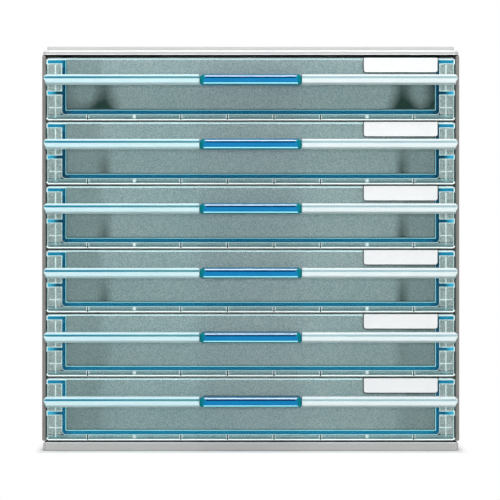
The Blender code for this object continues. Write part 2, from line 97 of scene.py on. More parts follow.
# %% Sizes read from the model
MM = 0.001
nodes = frame["nodes"]
drawers = sorted(body for body in frame["bodies"] if body.startswith("drawer_"))
boxes = {name: np.array(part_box(name)) for name in nodes}
FRONT_PLANE = boxes["right_side"][0, 1]
CASE_X = boxes["right_side"][1, 0]
CASE_DEPTH = boxes["right_side"][1, 1] - FRONT_PLANE
corners = {body: np.array([0, FRONT_PLANE, boxes[f"{body}_tray"][0, 2]]) for body in drawers}
tray_low, tray_high = boxes["drawer_1_tray"] - corners["drawer_1"]
grip_low, grip_high = boxes["drawer_1_grip"] - corners["drawer_1"]
label_low, label_high = boxes["drawer_1_label"] - corners["drawer_1"]
print(len(drawers), "drawers, each", (tray_high - tray_low).round(4), "m")

# %% [markdown]
# The photograph looks straight at the fronts from about a metre and a half away. The side walls of the
# casing stay parallel in it, so the lens is long. One millimetre on the casing's front plane covers a
# known share of the picture's width, and that share gives the focal length.

# %% Camera
CAMERA_DISTANCE = 1.45
CAMERA_X = -0.48 * MM
CAMERA_Z = 137.4 * MM
PICTURE_WIDTH = 342.6 * MM
SENSOR_WIDTH = 36.0


def shown(name, data):
    """An object of the scene for a camera, a lamp or a mesh."""
    made = bpy.data.objects.new(name, data)
    bpy.context.scene.collection.objects.link(made)
    return made


camera_data = bpy.data.cameras.new("photo_camera")
camera_data.sensor_width = SENSOR_WIDTH
camera_data.lens = SENSOR_WIDTH * CAMERA_DISTANCE / PICTURE_WIDTH
camera = shown("photo_camera", camera_data)
camera.location = (CAMERA_X, FRONT_PLANE - CAMERA_DISTANCE, CAMERA_Z)
camera.rotation_euler = (math.radians(90), 0, 0)
bpy.context.scene.camera = camera
print("focal length", round(camera_data.lens, 1), "mm")

# %% [markdown]
# Finishes are sums and products of patterns, so they read best as arithmetic. A small class wraps one
# output of a shader node. Python's operators on it add Math nodes, and one method adds any other node.


# %% A socket that does arithmetic
class Wire:
    """One output socket in a material. Sums, differences, products and shares of wires add Math nodes."""

    def __init__(self, tree, socket):
        self.tree = tree
        self.socket = socket

    def node(self, kind, settings=None, out=0, **sockets):
        """Adds a node of any kind: its settings first, then a value or a wire for each socket.

        A socket is named with underscores for spaces, or by its number as in input_6.
        """
        made = self.tree.nodes.new(kind)
        for name, value in (settings or {}).items():
            setattr(made, name, value)
        for name, value in sockets.items():
            by_number = name.startswith("input_")
            target = made.inputs[int(name.removeprefix("input_")) if by_number else name.replace("_", " ")]
            if isinstance(value, Wire):
                self.tree.links.new(value.socket, target)
            else:
                target.default_value = value
        return Wire(self.tree, made.outputs[out])

    def maths(self, operation, *values):
        """A Math node on this wire and further values."""
        sockets = {f"input_{number}": value for number, value in enumerate((self, *values))}
        return self.node("ShaderNodeMath", {"operation": operation}, **sockets)

    def clamped(self):
        """The value kept between 0 and 1."""
        return self.maths("MAXIMUM", 0.0).maths("MINIMUM", 1.0)

    def __add__(self, other):
        return self.maths("ADD", other)

    def __sub__(self, other):
        return self.maths("SUBTRACT", other)

    def __mul__(self, other):
        return self.maths("MULTIPLY", other)

    def __truediv__(self, other):
        return self.maths("DIVIDE", other)

    def __rsub__(self, other):
        return self * -1.0 + other

    def __abs__(self):
        return self.maths("ABSOLUTE")

    __radd__ = __add__
    __rmul__ = __mul__


print("wires ready")

# %% [markdown]
# Every finish starts from the Principled shader. Patterns are read in object coordinates, which here are
# plain metres in the model's frame, so a grain of half a millimetre is a noise of scale 2000.


# %% Start of a finish
def new_finish(name, **constants):
    """A material with a Principled shader. Returns the material, its shader and the coordinates."""
    material = bpy.data.materials.new(name)
    material.use_nodes = True
    tree = material.node_tree
    shader = tree.nodes["Principled BSDF"]
    for key, value in constants.items():
        shader.inputs[key.replace("_", " ")].default_value = value
    coordinates = tree.nodes.new("ShaderNodeTexCoord")
    return material, shader, Wire(tree, coordinates.outputs["Object"])


def feed(shader, name, wire):
    """Links a wire to one input of a shader."""
    wire.tree.links.new(wire.socket, shader.inputs[name])


def axis(place, number):
    """One coordinate: 0 across, 1 front to back, 2 up."""
    return place.node("ShaderNodeSeparateXYZ", out=number, Vector=place)


def noise(place, scale, detail=2.0, roughness=0.5):
    """Cloudy values about 0.5, with features about one metre divided by the scale."""
    return place.node("ShaderNodeTexNoise", Vector=place, Scale=scale, Detail=detail, Roughness=roughness)


def blend(factor, first, second):
    """A colour between two colours, each a wire or three numbers."""
    ends = [value if isinstance(value, Wire) else (*value, 1) for value in (first, second)]
    settings = {"data_type": "RGBA"}
    return factor.node("ShaderNodeMix", settings, 2, Factor=factor, input_6=ends[0], input_7=ends[1])


def bump(height, strength, distance):
    """A normal that follows a height pattern."""
    return height.node("ShaderNodeBump", Height=height, Strength=strength, Distance=distance)


def ramp(value, start, end):
    """0 up to the start, 1 from the end on, and an even slope between. The end may be the lower one."""
    return ((value - start) / (end - start)).clamped()


def peak(value, middle, reach):
    """1 at the middle, falling evenly to 0 at the reach on both sides."""
    return (1.0 - abs(value - middle) / reach).clamped()


print("finish helpers ready")

# %% [markdown]
# The casing is satin moulded polystyrene, a light warm grey. Up close such a wall has a fine spark texture
# from its mould, faint clouds where the melt flowed and some dull rub marks. A flat grey would look like a
# drawing, so colour, roughness and a tiny bump vary a little. The side panels and the back panel keep the
# model's meshes and only get a finish here. The front edges of the side panels and their insides are darker
# than the rest: painted shade.

# %% Casing plastic
SKIN_X = (CASE_X - 1.2 * MM, CASE_X - 0.8 * MM)
SKIN_Y = (FRONT_PLANE + 2 * MM, FRONT_PLANE + 8 * MM)


def outer_skin(place):
    """1 on the outside of the side panels, falling to 0 along their front edges and on their insides."""
    return ramp(abs(axis(place, 0)), *SKIN_X) * ramp(axis(place, 1), *SKIN_Y)


def casing_plastic(name, dark, light, rough=0.36, inner=None):
    """Grey plastic: clouds shift the tone by a few per cent, and grain roughens the surface.

    Inner is a second, darker pair of greys, painted shade, for what isn't outer skin, where there is one.
    """
    material, shader, place = new_finish(name, Metallic=0.0, IOR=1.5)
    clouds = noise(place, 9.0, 3.0)
    grain = noise(place, 2600.0, 2.0)
    streak_space = place.node("ShaderNodeMapping", Vector=place, Scale=(1.0, 1.0, 14.0))
    streaks = noise(streak_space, 24.0, 4.0, 0.65)
    tone = (clouds * 0.55 + streaks * 0.25 + grain * 0.2).clamped()
    colour = blend(tone, dark, light)
    if inner:
        colour = blend(outer_skin(place), blend(tone, *inner), colour)
    feed(shader, "Base Color", colour)
    feed(shader, "Roughness", (rough + streaks * 0.14 + grain * 0.1).clamped())
    feed(shader, "Normal", bump(grain, 0.25, 0.12 * MM))
    return material


BASE_GREY = casing_plastic("base_plastic", (0.41, 0.41, 0.40), (0.55, 0.55, 0.54))
FACE_GREY = casing_plastic("face_plastic", (0.38, 0.40, 0.40), (0.50, 0.52, 0.52))
COVER_GREY = casing_plastic("cover_plastic", (0.52, 0.53, 0.52), (0.67, 0.68, 0.67))
# A glossy grey lighter than the casing: the gloss mirrors the lamp, the lighter colour is painted highlight.
BEVEL_HIGHLIGHT_GREY = casing_plastic("bevel_highlight_plastic", (0.60, 0.62, 0.61), (0.74, 0.76, 0.75), rough=0.1)
# Painted shade on the side panels' front edges and insides.
SHADED_EDGE_GREYS = (0.18, 0.17, 0.162), (0.28, 0.268, 0.256)
SIDE_GREY = casing_plastic("side_plastic", (0.40, 0.40, 0.39), (0.54, 0.54, 0.53), inner=SHADED_EDGE_GREYS)
# Painted shadow for the ring behind the gaps round the drawers, on the deck and under the cover.
GAP_SHADOW_GREY = casing_plastic("gap_shadow_plastic", (0.012, 0.014, 0.014), (0.03, 0.034, 0.034))
for name, finish in {"left_side": SIDE_GREY, "right_side": SIDE_GREY, "back_panel": BASE_GREY}.items():
    nodes[name].data.materials.clear()
    nodes[name].data.materials.append(finish)
print("casing finishes ready")

# %% [markdown]
# Clear plastic is the heart of this object. A pane seen straight on is almost colourless, and so is the tray
# behind it. Refraction is real here, but shadow rays pass straight through, so the lamps light the trays
# cleanly. The pane's bend of light is low, since it would mirror the white world otherwise and veil the
# deep blue behind it.

# %% Clear plastic
LAMP_TINT = (0.96, 0.995, 0.995)
SHADE_TINT = (0.035, 0.095, 0.075)


def mixed(material, factor, first, second):
    """Makes a Mix Shader of two shaders the surface of a material."""
    tree = material.node_tree
    mix = tree.nodes.new("ShaderNodeMixShader")
    for socket, source in zip(mix.inputs, (factor, first.outputs[0], second.outputs[0])):
        tree.links.new(source, socket)
    tree.links.new(mix.outputs[0], tree.nodes["Material Output"].inputs["Surface"])


def let_lamps_through(material, shader, tint=LAMP_TINT):
    """Mixes a shader with a plain see-through one, of a tint, that only shadow rays meet."""
    path = material.node_tree.nodes.new("ShaderNodeLightPath")
    clear = material.node_tree.nodes.new("ShaderNodeBsdfTransparent")
    clear.inputs["Color"].default_value = (*tint, 1)
    mixed(material, path.outputs["Is Shadow Ray"], shader, clear)


def clear_plastic(name, dark, light, rough, grain_size, clearness=1.0, contrast=1.0, bend=1.15, shade=None):
    """See-through plastic: a fine grain blurs it, and its tint shifts between two pale colours.

    Shade is a function of the coordinates that gives the share of a dark tint, where there is one.
    """
    material, shader, place = new_finish(name, Transmission_Weight=clearness, IOR=bend)
    grain = noise(place, 1.0 / grain_size, 2.0, 0.6)
    clouds = noise(place, 14.0, 2.0)
    tone = ((grain - 0.5) * contrast + (clouds - 0.5) * 0.6 + 0.5).clamped()
    colour = blend(tone, dark, light)
    if shade:
        colour = blend(shade(place), colour, SHADE_TINT)
    feed(shader, "Base Color", colour)
    feed(shader, "Roughness", (rough + grain * 0.06 - 0.03).clamped())
    feed(shader, "Normal", bump(grain, 0.3, 0.05 * MM))
    let_lamps_through(material, shader)
    return material


PANE_CLEAR = clear_plastic(
    "pane_clear", (0.90, 0.97, 0.97), (0.93, 0.99, 0.99), rough=0.05, grain_size=4 * MM
)
TRAY_CLEAR = clear_plastic(
    "tray_clear", (0.92, 0.98, 0.985), (0.95, 0.99, 0.995), rough=0.06, grain_size=2.5 * MM, bend=1.45
)
print("clear finishes ready")

# %% [markdown]
# In the drawer's window the mould is spark eroded, so that field is frosted: it blurs what lies behind and
# scatters much of the light. Through it the tray's rear corners show as two soft dark patches below the
# ledge, strongest in the top drawer under the cover. They are so blurred that painted shade on the field
# stands in for them. The strips under the floor and the wings at the sides are frosted too: the strips with
# a thin dark line, the wings with painted shade above the ledge.

# %% Frosted fields
PITCH = corners["drawer_1"][2] - corners["drawer_2"][2]
PATCH_X = 101.8 * MM
PATCH_MIDDLE = 1.8 * MM
PATCH_GROWS = (24 * MM, 8 * MM)
BAND_REACH = 6 * MM
TOP_REACH = (2 * MM, 4 * MM)
FOOT_X = (11 * MM, 25 * MM)
FOOT_Z = (15 * MM, 8 * MM)
WALL_SHADE = (117 * MM, 126 * MM)
OUTSIDE_SHADE = (0.0, 5 * MM)
BELOW_LEDGE = (28 * MM, 24 * MM)
FLOOR_LINE = (7.6 * MM, 0.6 * MM)
STRIP_LINE = (1.5 * MM, 0.6 * MM)
UPPER_WING = (24 * MM, 32 * MM)
BAND, BAND_LOW, BAND_HIGHER, BAND_TOP, BAND_RIGHT = 0.06, 0.48, 0.20, 0.34, 0.12
WALL, WALL_TOP, WALL_RIGHT = 0.1, 0.2, 0.44
FOOT, OUTSIDE, FLOOR_DARK, STRIP_DARK, WING_DARK = 0.42, 0.22, 0.25, 0.6, 0.13


def height_in_drawer(place):
    """The height above a drawer's lower edge: what is left of the height after whole drawers."""
    return (axis(place, 2) - corners["drawer_6"][2]).maths("MODULO", PITCH)


def corner_shade(place):
    """The share of painted shade where the tray's rear corners show through the frosting.

    A soft band on each side grows darker downwards. In the top drawer, under the cover, it widens and ends
    in a foot on the floor, and the two drawers next to the desk hardly have it. The right band is a little
    stronger, the shade deepens near the tray's walls, a faint tone lies outside the bands, and a thin line
    of painted shade runs along the floor.
    """
    across, up, height = axis(place, 0), axis(place, 2), height_in_drawer(place)
    right = across.maths("GREATER_THAN", 0.0)
    top = up.maths("GREATER_THAN", corners["drawer_1"][2])
    away = ramp(up, corners["drawer_5"][2], corners["drawer_4"][2])
    low = ramp(height, *PATCH_GROWS)
    off = abs(across - PATCH_MIDDLE) - PATCH_X
    band = peak(off, 0.0, top * (low * TOP_REACH[1] + TOP_REACH[0]) + BAND_REACH)
    dark = away * (low * BAND_LOW + BAND_HIGHER) + top * BAND_TOP + right * BAND_RIGHT + BAND
    foot = peak(off, *FOOT_X) * ramp(height, *FOOT_Z) * top * FOOT
    wall = ramp(abs(across), *WALL_SHADE) * (top * (right * WALL_RIGHT + WALL_TOP) + WALL)
    outside = ramp(off, *OUTSIDE_SHADE) * OUTSIDE + peak(height, *FLOOR_LINE) * FLOOR_DARK
    return ((band * dark + foot + wall) * ramp(height, *BELOW_LEDGE) + outside).clamped()


def strip_line(place):
    """The share of dark in a thin line along the lower side of the strips under the floor."""
    return peak(height_in_drawer(place), *STRIP_LINE) * STRIP_DARK


def upper_wing(place):
    """The share of painted shade in the wings, a little darker above the ledge."""
    return ramp(height_in_drawer(place), *UPPER_WING) * WING_DARK


PANE_FROSTED = clear_plastic(
    "pane_frosted", (0.40, 0.61, 0.63), (0.88, 1.0, 1.0),
    rough=0.36, grain_size=0.6 * MM, clearness=0.55, contrast=4.8, shade=corner_shade,
)
STRIP_FROSTED = clear_plastic(
    "strip_frosted", (0.32, 0.64, 0.70), (0.72, 0.99, 1.0),
    rough=0.36, grain_size=0.9 * MM, clearness=0.55, contrast=4.6, shade=strip_line,
)
WING_FROSTED = clear_plastic(
    "wing_frosted", (0.46, 0.66, 0.63), (0.94, 1.0, 0.99),
    rough=0.36, grain_size=0.8 * MM, clearness=0.5, contrast=4.6, shade=upper_wing,
)
print("frosted finishes ready, for drawers", round(PITCH / MM, 1), "mm apart")

# %% [markdown]
# An edge of clear plastic seen end-on is deep blue, because the light there has run a long way inside the
# moulding. Edges close to a lit face are pale instead. Tracing that light would take far more samples than
# the picture is worth, so the end faces get the colours that they show: a soft drift along the edge, a
# fine grain and almost no mirror. The palest edges also give off a little of the light that the moulding
# carries to them. The lower drawers' edges are lighter, as if light came up from below.

# %% Lit edges
EDGE_GRAIN = 1400.0
BLUE_DRIFT = 4 * MM
NAVY_WALL = (121.5 * MM, 127 * MM)
BRIGHT_TIP = (132.5 * MM, 137.5 * MM)
LONGER_TIP = 6 * MM
UPPER_EDGES = 36 * MM


def towards_the_desk(place):
    """0 at the top of the casing and 1 on the desk, growing with the square of the depth."""
    depth = (1.0 - axis(place, 2) / cad_high[2]).clamped()
    return depth * depth


def edge_plastic(name, low, high, rough=0.3, bend=1.1, glow=0.0, desk=None):
    """A lit edge of clear plastic: colour that drifts along the edge under a smooth skin, and its glow.

    Desk is a colour of painted light from below, taken on towards the desk, where there is one.
    """
    material, shader, place = new_finish(name, Metallic=0.0, IOR=bend, Emission_Strength=glow)
    drift = noise(place, 40.0, 3.0)
    fine = noise(place, EDGE_GRAIN)
    colour = blend((drift * 0.8 + fine * 0.2).clamped(), low, high)
    if desk:
        colour = blend(towards_the_desk(place), colour, desk)
    feed(shader, "Base Color", colour)
    feed(shader, "Roughness", (rough + fine * 0.12 - 0.06).clamped())
    if glow:
        feed(shader, "Emission Color", colour)
    return material


def blue_edge_plastic():
    """The tray's end in painted light: blue on the floor, navy up the walls, bright at the flange tips."""
    material, shader, place = new_finish("edge_blue", Metallic=0.0, IOR=1.1)
    across = abs(axis(place, 0)) + (noise(place, 45.0, 3.0) - 0.5) * BLUE_DRIFT
    upper = height_in_drawer(place).maths("GREATER_THAN", UPPER_EDGES)
    bright = blend(upper, (0.050, 0.560, 0.840), (0.014, 0.270, 0.440))
    desk = towards_the_desk(place)
    floor = blend(desk, (0.004, 0.150, 0.270), (0.013, 0.270, 0.450))
    navy = blend(desk, (0.000, 0.056, 0.108), (0.006, 0.180, 0.330))
    colour = blend(ramp(across, *NAVY_WALL), floor, navy)
    colour = blend(ramp(across + upper * LONGER_TIP, *BRIGHT_TIP), colour, bright)
    feed(shader, "Base Color", colour)
    feed(shader, "Roughness", (0.24 + noise(place, EDGE_GRAIN) * 0.12).clamped())
    return material


EDGE_BLUE = blue_edge_plastic()
EDGE_GLOW = edge_plastic(
    "edge_glow", (0.20, 0.50, 0.60), (0.32, 0.64, 0.74), glow=0.1, desk=(0.46, 0.94, 1.0)
)
EDGE_PALE = edge_plastic("edge_pale", (0.70, 0.84, 0.86), (0.86, 0.96, 0.98), glow=0.15)
EDGE_WHITE = edge_plastic("edge_white", (0.90, 0.97, 0.97), (0.98, 1.0, 1.0), glow=0.4)
# The dark edge finish is painted shade round the label card and on the rim's faces in the gaps; the gussets'
# cores take it too.
EDGE_DARK = edge_plastic("edge_dark", (0.01, 0.03, 0.03), (0.05, 0.09, 0.09))
RIB_PALE = edge_plastic("rib_pale", (0.76, 0.87, 0.86), (0.93, 0.99, 0.98), glow=0.12)
print("edge finishes ready")

# %% [markdown]
# Nearly every moulding here is an outline carried along a straight line, with its edges drawn in at
# both ends. So the outlines come first: arrays of points, anticlockwise, in two coordinates.

# %% Outlines
TINY = 1e-12
SHARPEST_MITRE = 0.2


def arc(centre, radius, start, end, steps=6):
    """Points of a circular arc: centre plus radius times cosine and sine of evenly spaced angles."""
    angle = np.radians(np.linspace(start, end, steps + 1))
    return np.asarray(centre) + radius * np.stack([np.cos(angle), np.sin(angle)], axis=1)


def round_rectangle(x, z, radius, steps=6):
    """A rectangle between two x and two z with four corner arcs."""
    (left, right), (low, high) = x, z
    return np.concatenate([
        arc((right - radius, low + radius), radius, -90, 0, steps),
        arc((right - radius, high - radius), radius, 0, 90, steps),
        arc((left + radius, high - radius), radius, 90, 180, steps),
        arc((left + radius, low + radius), radius, 180, 270, steps),
    ])


def both_halves(right):
    """The right half of an outline, then its mirror image in reverse."""
    return np.concatenate([right, right[::-1] * [-1, 1]])


def drawn_in(outline, distance):
    """The outline moved inwards: each point goes along the mitre of its two edges' normals.

    Distance is one number, or one for each point.
    """
    edges = outline - np.roll(outline, 1, axis=0), np.roll(outline, -1, axis=0) - outline
    lengths = [np.maximum(np.linalg.norm(edge, axis=1, keepdims=True), TINY) for edge in edges]
    first, second = (edge[:, ::-1] * [-1, 1] / length for edge, length in zip(edges, lengths))
    mitre = first + second
    scale = np.maximum((mitre * first).sum(axis=1, keepdims=True), SHARPEST_MITRE)
    return outline + np.reshape(distance, (-1, 1)) * mitre / scale


print("a square drawn in by 1:", drawn_in(np.array([[0, 0], [4, 0], [4, 4], [0, 4]]), 1).tolist())

# %% [markdown]
# One surface does for every moulding: its first parameter runs round the outline and its second runs along
# a list of stations. Each station has a place along the third axis and an outline of its own, usually
# the same one drawn in a little, so the edges come out soft. Faces carry a group number, which later
# picks their finish: skin along the way, start and end for the two flat ends.

# %% Solids
FRONT_VIEW = (0, 2, 1)
SIDE_VIEW = (1, 2, 0)
PLAN_VIEW = (0, 1, 2)
SKIN, START, END = range(3)
FLAT_END = 1.4


def solid(rings, places, view, bands=None, closed=False):
    """A closed shape: points (place round the outline, station) on a grid, with two flat ends.

    View names the axes of the outline's two coordinates and of the stations. Bands gives the group of
    each face, station by station, or of each whole band. A closed shape's last station meets its first.
    Returns the points, the faces' corners one after another, their counts and the faces' groups.
    """
    rings = np.stack(rings)
    count, around = rings.shape[:2]
    grid = np.empty((count, around, 3))
    grid[..., view[0]] = rings[..., 0]
    grid[..., view[1]] = rings[..., 1]
    grid[..., view[2]] = np.reshape(places, (-1, 1))
    here = np.arange(around)
    beside = np.roll(here, -1)
    row = np.arange(count if closed else count - 1)[:, None] * around
    above = (row + around) % (count * around)
    quads = np.stack([row + here, row + beside, above + beside, above + here], axis=2)
    ends = [] if closed else [here[::-1], here + (count - 1) * around]
    bands = np.full(len(row), SKIN) if bands is None else np.asarray(bands)
    bands = np.broadcast_to(bands.reshape(len(row), -1), quads.shape[:2])
    sizes = np.concatenate([np.full(bands.size, 4), [around] * len(ends)]).astype(int)
    groups = np.concatenate([bands.ravel(), [START, END][: len(ends)]]).astype(int)
    return grid.reshape(-1, 3), np.concatenate([quads.ravel(), *ends]), sizes, groups


def stepped(outline, stations):
    """Rings and places from one outline and stations of (place, how far the outline is drawn in)."""
    return [drawn_in(outline, inset) for _, inset in stations], [place for place, _ in stations]


def soft_stations(start, end, radius, steps=3):
    """Stations whose two edges are quarter circles: drawn in by r(1-sin), at places r(1-cos).

    One more ring lies in each flat end, so that it stays flat up to its edge.
    """
    turn = np.linspace(0, math.pi / 2, steps + 1)
    inset = radius * (1 - np.sin(turn))
    depth = radius * (1 - np.cos(turn))
    near = [(start, FLAT_END * radius), *zip(start + depth, inset)]
    far = [*zip(end - depth[::-1], inset[::-1]), (end, FLAT_END * radius)]
    return near + far


def bar(x, y, z, radius=0.15 * MM, group=None):
    """A bar with soft edges, drawn in the front view and carried along y, all in one group if asked."""
    outline = round_rectangle(x, z, radius, 2)
    points, ends, sizes, groups = solid(*stepped(outline, soft_stations(*y, radius, 2)), FRONT_VIEW)
    return points, ends, sizes, groups if group is None else np.full_like(groups, group)


print("a bar has", len(bar((0, 0.01), (0, 0.02), (0, 0.01))[0]), "points")

# %% [markdown]
# A piece of the object gathers a few solids into one mesh. The arrays go in whole, the faces turn outwards,
# soft edges shade smooth and corners sharper than 38 degrees stay crisp. A Weighted Normal modifier keeps
# the large faces flat up to their soft edges. Without it a clear tray floor would bend the view like a
# lens. Each piece rides on its body and stands for the node that it replaces.

# %% From arrays to a piece of the object
CRISP = math.radians(38)


def piece(name, solids, finishes, offset=(0, 0, 0)):
    """One object from several solids, with a finish for each group. Further groups take the last one."""
    points, ends, sizes, groups = zip(*solids)
    starts = np.cumsum([0, *map(len, points)])
    ends = np.concatenate([end + start for end, start in zip(ends, starts)])
    points, sizes, groups = map(np.concatenate, (points, sizes, groups))
    mesh = bpy.data.meshes.new(name)
    mesh.from_pydata(points + offset, [], np.split(ends, np.cumsum(sizes)[:-1]))
    mesh.polygons.foreach_set("material_index", np.minimum(groups, len(finishes) - 1))
    for finish in finishes:
        mesh.materials.append(finish)
    outwards(mesh)
    return shown(name, mesh)


def outwards(mesh):
    """Turns the faces so that they point out of the closed shapes, and shades them."""
    work = bmesh.new()
    work.from_mesh(mesh)
    bmesh.ops.recalc_face_normals(work, faces=work.faces)
    work.to_mesh(mesh)
    work.free()
    mesh.shade_smooth()
    mesh.set_sharp_from_angle(angle=CRISP)


def stands_for(made, body, node):
    """Makes a piece ride on a body and puts it in a node's place."""
    made.modifiers.new("flat_faces", "WEIGHTED_NORMAL").keep_sharp = True
    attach(made, body)
    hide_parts(node)


print("piece helpers ready")

# %% [markdown]
# The base is a deck on a skirt, open below, and the cover is a plate with a stacking step, hollow below. On
# the real box each has a fine bevel along its upper edge that catches light from above as a white line, and
# the cover has a second one on its lower lip. The bevels lean back by half the lamp's height above the
# horizon, so from the front they mirror it, and their finish is a lighter grey, a painted highlight. Behind
# the gaps round the drawers the casing is in deep shadow, so that ring gets a painted dark tone.

# %% Base and cover
CASE_CORNER = 3.0 * MM
SMALLEST_CORNER = 1.0 * MM
GAP_RING = 14.0 * MM
BEVEL_LEAN = math.tan(math.radians(34))
GAP_SHADOW, BEVEL, FACE = 3, 4, 5


def plan(inset):
    """The casing's plan: a rounded rectangle drawn in from all four sides, its rear away from us."""
    width = (-CASE_X + inset, CASE_X - inset)
    return round_rectangle(width, (inset, CASE_DEPTH - inset), max(CASE_CORNER - inset, SMALLEST_CORNER))


def plan_solid(stations, bands):
    """A solid from stations of (height, inset) in the casing's plan."""
    return solid([plan(inset) for _, inset in stations], [place for place, _ in stations], PLAN_VIEW, bands)


def base_shape(top):
    """From inside the skirt, under it, up its face, over the bevel and in across the falling deck."""
    face, bevel, soft = 0.65 * MM, 0.8 * MM, 0.12 * MM
    skirt, hollow, fall = 2.4 * MM, 3.6 * MM, 0.55 * MM
    stations = [
        (hollow, face + skirt),
        (0.0, face + skirt),
        (0.0, face + soft),
        (soft, face),
        (top - fall - bevel, face),
        (top - fall, face + bevel * BEVEL_LEAN),
        (top, GAP_RING),
    ]
    return plan_solid(stations, [SKIN] * 4 + [BEVEL, GAP_SHADOW])


def cover_shapes(bottom, top):
    """The plate, from its hollow underside over the lip and the bevel, and the step on it."""
    lip, bevel, soft, flat = 0.6 * MM, 1.1 * MM, 0.08 * MM, 1 * MM
    plate, hollow, ring = 3.0 * MM, 2.6 * MM, 20 * MM
    step, rise, step_bevel = 3.3 * MM, 0.3 * MM, 0.4 * MM
    face = lip * BEVEL_LEAN
    edge = face + bevel * BEVEL_LEAN
    below = [
        (bottom + hollow, ring),
        (bottom, ring),
        (bottom, soft),
        (bottom + soft, 0.0),
        (bottom + soft + lip, face),
        (bottom + plate - bevel, face),
        (bottom + plate, edge),
        (bottom + plate, edge + flat),
    ]
    above = [
        (bottom + plate, step + flat),
        (bottom + plate, step),
        (top + rise - step_bevel, step),
        (top + rise, step + step_bevel * BEVEL_LEAN),
        (top + rise, step + 2 * flat),
    ]
    bands = [SKIN, GAP_SHADOW, SKIN, BEVEL, FACE, BEVEL, SKIN]
    return [plan_solid(below, bands), plan_solid(above, [SKIN] * 4)]


case_corner = (0, FRONT_PLANE, 0)
base_finishes = [BASE_GREY] * 3 + [GAP_SHADOW_GREY, BEVEL_HIGHLIGHT_GREY]
base = piece("base_tray", [base_shape(boxes["base"][1, 2])], base_finishes, case_corner)
stands_for(base, "casing", "base")
cover_finishes = [COVER_GREY] * 3 + [GAP_SHADOW_GREY, BEVEL_HIGHLIGHT_GREY, FACE_GREY]
cover = piece("cover", cover_shapes(*boxes["top_cover"][:, 2]), cover_finishes, case_corner)
stands_for(cover, "casing", "top_cover")
print("base and cover:", len(base.data.polygons), "and", len(cover.data.polygons), "faces")

# %% [markdown]
# The frosted fields lie on the back of the front pane and follow the tray behind it: one window between the
# tray's walls, strips under its floor between the gussets, and squares in the two wings between the ribs.
# So the sizes of pane and tray come first. Each field is a flat cutter for the next step.

# %% Textured fields
FRONT_X = CASE_X - 3.1 * MM
FRONT_HEIGHT = tray_high[2]
FRONT_FACE = -0.8 * MM
FRONT_BACK = 1.4 * MM
FRONT_CORNER = 1.5 * MM
FRONT_EDGE = 0.55 * MM
TRAY_X = FRONT_X - 10.6 * MM
TRAY_INSIDE = FRONT_X - 12.9 * MM
TRAY_TOP = FRONT_HEIGHT - 2.0 * MM
FLOOR = (3.75 * MM, 6.3 * MM)
RUNNER_FLANGE = (17.5 * MM, 19.2 * MM)
TOP_FLANGE = (38.6 * MM, TRAY_TOP)
GUSSETS = np.linspace(-111.8, 111.8, 8) * MM
GUSSET = 2.2 * MM
RIB = 0.9 * MM
UPRIGHT_RIB = FRONT_X - 6.0 * MM
LEVEL_RIB = 8.4 * MM
FIELD_END = FRONT_X - 1.1 * MM
FIELD_LOW = 0.9 * MM
FIELD_MARGIN = 1.1 * MM
FIELD_TOP = FRONT_HEIGHT - 1.5 * MM
FIELD_CORNER = 0.4 * MM
FIELD_DEPTH = 0.05 * MM
TRAY_MARGIN = 0.3 * MM
FLANGE_MARGIN = 0.2 * MM
CUTTER_PAST = 1 * MM


def cutter(outline, start, end):
    """A straight cutter along y."""
    return solid([outline, outline], [start, end], FRONT_VIEW)


def field(x, z):
    """The cutter of one textured field: a rectangle with small round corners."""
    outline = round_rectangle(x, z, FIELD_CORNER, 3)
    return cutter(outline, FRONT_BACK - FIELD_DEPTH, FRONT_BACK + CUTTER_PAST)


def strip_fields():
    """The strips below the tray's floor, between the gussets."""
    starts = np.concatenate([[-FIELD_END], GUSSETS + GUSSET / 2])
    ends = np.concatenate([GUSSETS - GUSSET / 2, [FIELD_END]])
    return [field(x, (FIELD_LOW, FLOOR[0] - TRAY_MARGIN)) for x in zip(starts, ends)]


def wing_fields():
    """The wings, in the squares between their ribs, the flanges and the rim."""
    columns = (TRAY_X + TRAY_MARGIN, UPRIGHT_RIB - RIB / 2), (UPRIGHT_RIB + RIB / 2, FIELD_END)
    rows = (
        (FLOOR[0], LEVEL_RIB - RIB / 2),
        (LEVEL_RIB + RIB / 2, RUNNER_FLANGE[0] - FLANGE_MARGIN),
        (RUNNER_FLANGE[1] + FLANGE_MARGIN, TOP_FLANGE[0] - FLANGE_MARGIN),
    )
    both = [*columns, *((-high, -low) for low, high in columns)]
    return [field(x, z) for x in both for z in rows]


print(len(strip_fields()), "strips and", len(wing_fields()), "squares in the wings")

# %% [markdown]
# The drawer front is a clear pane with soft edges. At its upper right a shallow pocket takes the label
# card. Pocket and fields are cut with a Boolean that hands over the cutter's finish, so the frosting lies
# a hair deep and has true edges. The cut is made once, and the six drawers use copies of that mesh.

# %% Front pane
LABEL_CORNER = 1.6 * MM
LABEL_SHADOW = 0.5 * MM
LABEL_DROP = 0.25 * MM
POCKET_FLOOR = 0.3 * MM


def label_outline(margin, top):
    """The label's outline, square above and round at its lower corners, grown by a margin."""
    left, right = label_low[0] - margin, label_high[0] + margin
    low, radius = label_low[2] - LABEL_DROP - margin, LABEL_CORNER + margin
    return np.concatenate([
        arc((left + radius, low + radius), radius, 180, 270),
        arc((right - radius, low + radius), radius, 270, 360),
        [[right, top], [left, top]],
    ])


